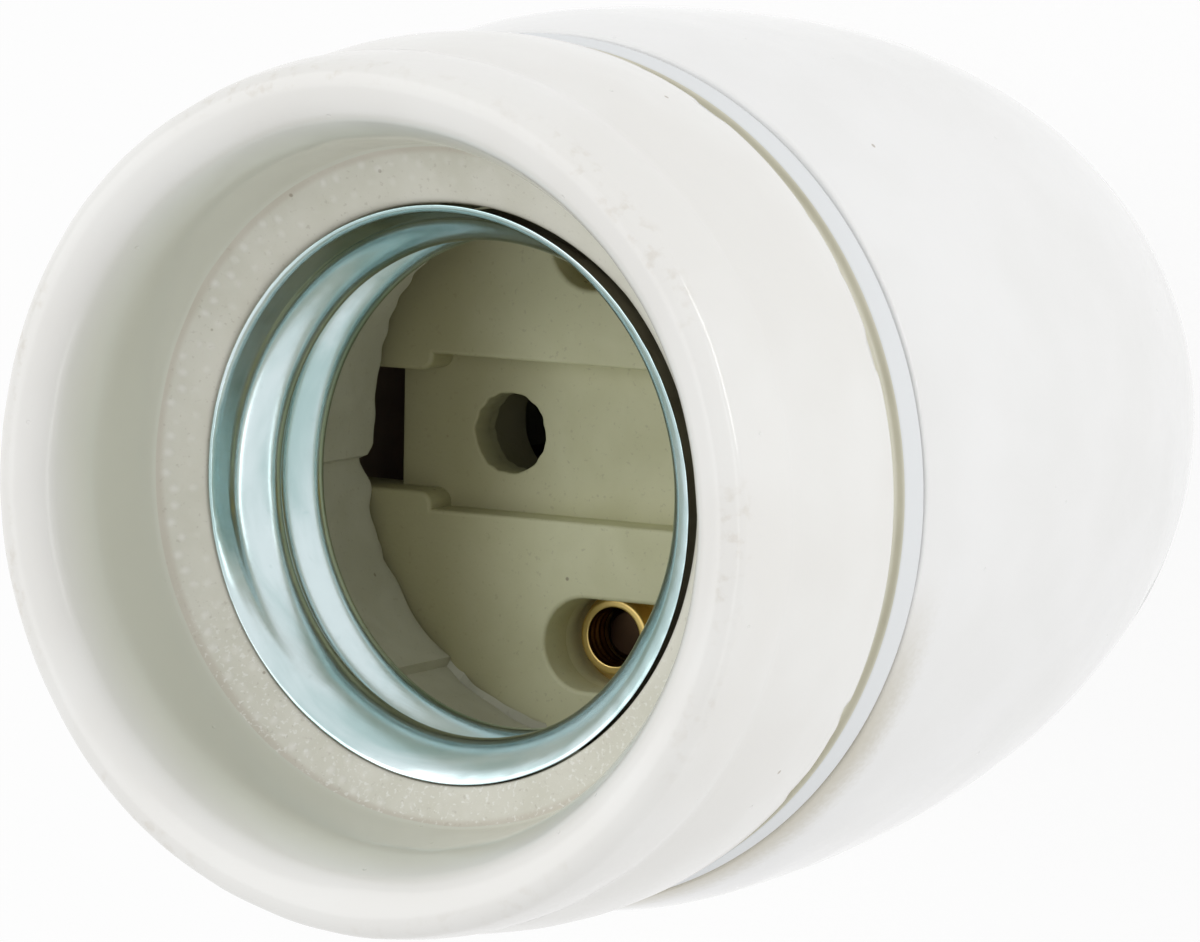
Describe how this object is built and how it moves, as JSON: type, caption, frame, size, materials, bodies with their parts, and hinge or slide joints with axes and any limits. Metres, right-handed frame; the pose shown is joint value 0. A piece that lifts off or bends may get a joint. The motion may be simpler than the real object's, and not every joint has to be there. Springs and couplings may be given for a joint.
{
  "type": "lamp holder",
  "caption": "Two-part glazed porcelain lamp holder: a flared ring with a threaded steel shell screws on an egg-shaped dome with insert, terminals and threaded pipe entry.",
  "frame": {"origin": "centre of the flat end round the pipe entry, where the bounding box meets the floor", "axes": "+Z along the lamp axis, out of the mouth; +X along the channel in the insert's face, +Y across it"},
  "size_m": [0.0452, 0.0452, 0.0627],
  "materials": {
    "ring_porcelain": "white glazed porcelain, thin glaze in the bowl",
    "dome_porcelain": "white glazed porcelain",
    "bare_porcelain": "unglazed",
    "seal_grey": "pale grey, semi-matt",
    "zinc_steel": "bright zinc plate",
    "terminal_brass": "plain brass"
  },
  "bodies": {
    "dome": {"rear_dome": "dome_porcelain", "insert_block": "bare_porcelain", "lower_terminal": "terminal_brass", "upper_terminal": "terminal_brass", "lower_clamp_screw": "zinc_steel", "upper_clamp_screw": "zinc_steel", "lower_clamp_washer": "zinc_steel", "upper_clamp_washer": "zinc_steel", "lower_terminal_rivet": "terminal_brass", "upper_terminal_rivet": "terminal_brass", "side_contact_spring": "terminal_brass", "spring_rivet": "terminal_brass", "entry_bush": "zinc_steel", "bush_washer": "zinc_steel", "bush_nut": "zinc_steel", "pipe_lock_screw": "zinc_steel"},
    "seal": {"seal_ring": "seal_grey"},
    "ring": {"front_ring": "ring_porcelain", "threaded_shell": "zinc_steel"}
  },
  "joints": [
    {"name": "seal_lift", "type": "slide", "parent": "dome", "child": "seal", "axis": [0, 0, 1], "range_m": [0, 0.0061]},
    {"name": "ring_turn", "type": "hinge", "parent": "seal", "child": "ring", "pos_m": [0, 0, 0.0486], "axis": [0, 0, 1], "range_deg": [0, 720]}
  ],
  "couplings": [
    {"joint": "seal_lift", "follows": "ring_turn", "m_per_rad": 0.00047746}
  ]
}
